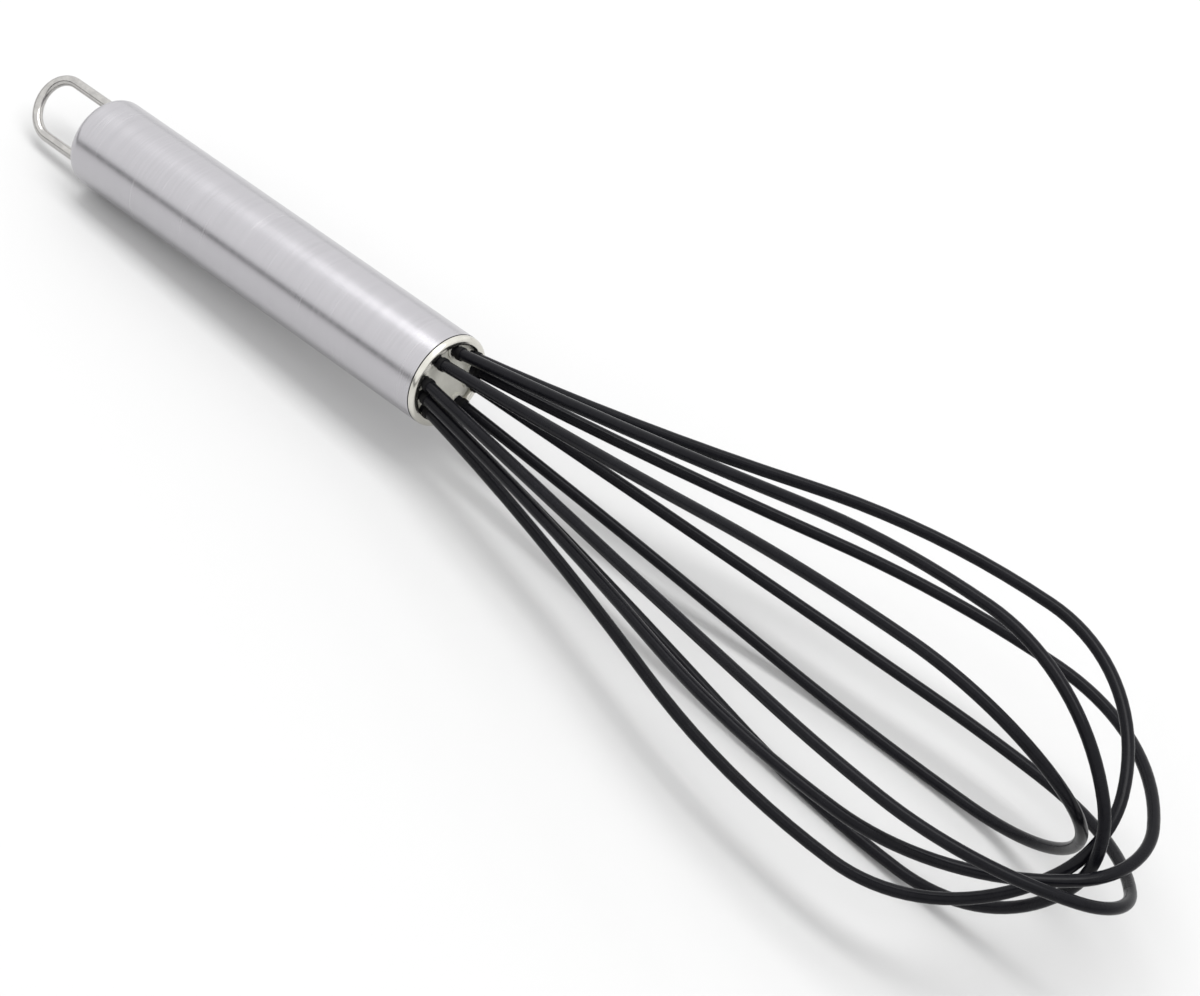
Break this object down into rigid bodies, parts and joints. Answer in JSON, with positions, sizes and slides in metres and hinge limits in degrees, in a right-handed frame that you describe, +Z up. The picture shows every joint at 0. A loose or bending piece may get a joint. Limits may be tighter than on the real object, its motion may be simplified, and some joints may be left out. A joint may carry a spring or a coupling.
{
  "type": "balloon whisk",
  "caption": "Balloon whisk lying on its side: round brushed-steel handle with a hanging loop, and five nested loops of black-coated wire held in its mouth.",
  "frame": {"origin": "under the middle of the whisk's box, on the surface it lies on", "axes": "+X from the handle's tail to the balloon's tip, +Z up as the whisk lies on a table"},
  "size_m": [0.3362, 0.0692, 0.0641],
  "materials": {
    "brushed_handle": "fine brushed grain along the handle",
    "polished_ring": "polished",
    "polished_wire": "polished drawn wire",
    "plain_steel": "plain turned or stamped",
    "spring_wire": "bright drawn wire",
    "wire_coating": "satin silicone",
    "black_rubber": "matte",
    "hub_nylon": "moulded, fine matte",
    "resin": "cast"
  },
  "bodies": {
    "root": {"handle_tube": "brushed_handle", "hanging_loop": "polished_wire", "loop_anchor_plate": "plain_steel", "loop_collars": "plain_steel", "mouth_ring": "polished_ring", "ring_seal": "black_rubber", "wire_hub": "hub_nylon", "wire_grommets": "black_rubber", "crimp_collar": "plain_steel", "backing_plate": "plain_steel", "hub_screw": "plain_steel", "resin_plug": "resin", "wire_core_1": "spring_wire", "wire_core_2": "spring_wire", "wire_core_3": "spring_wire", "wire_core_4": "spring_wire", "wire_core_5": "spring_wire", "wire_coating_1": "wire_coating", "wire_coating_2": "wire_coating", "wire_coating_3": "wire_coating", "wire_coating_4": "wire_coating", "wire_coating_5": "wire_coating"}
  },
  "joints": []
}
